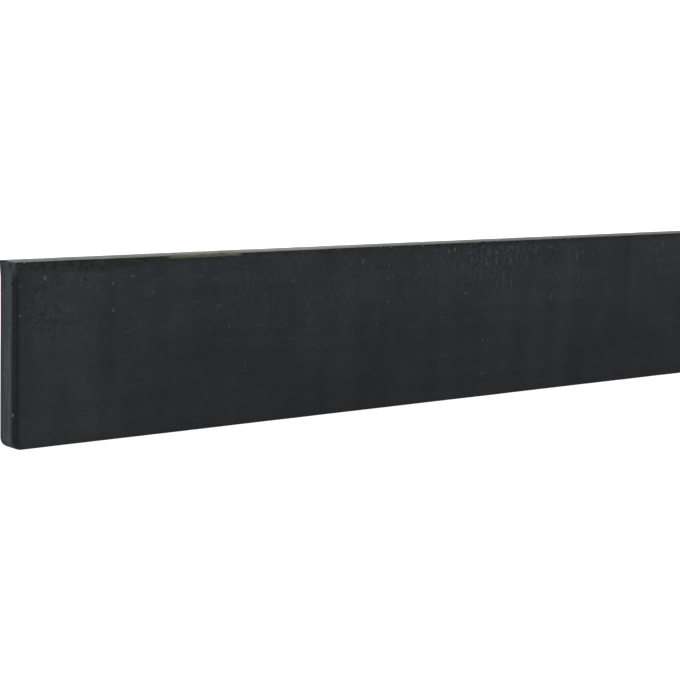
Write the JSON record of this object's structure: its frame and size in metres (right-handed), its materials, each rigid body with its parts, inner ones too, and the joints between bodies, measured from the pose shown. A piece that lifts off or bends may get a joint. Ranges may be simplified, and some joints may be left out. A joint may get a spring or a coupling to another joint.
{
  "type": "concrete gravel board",
  "caption": "Plain cast concrete gravel board with rounded mould edges and a squarer open edge, laid on its back. It closes the gap under a fence panel.",
  "frame": {"origin": "on the ground under the centre of the board as it lies on its back", "axes": "+X along the length, +Y towards the open edge that is the top edge in a fence, +Z out of the pictured face"},
  "size_m": [1.83, 0.305, 0.05],
  "materials": {
    "concrete": "satin"
  },
  "bodies": {
    "root": {"gravel_board": "concrete"}
  },
  "joints": []
}
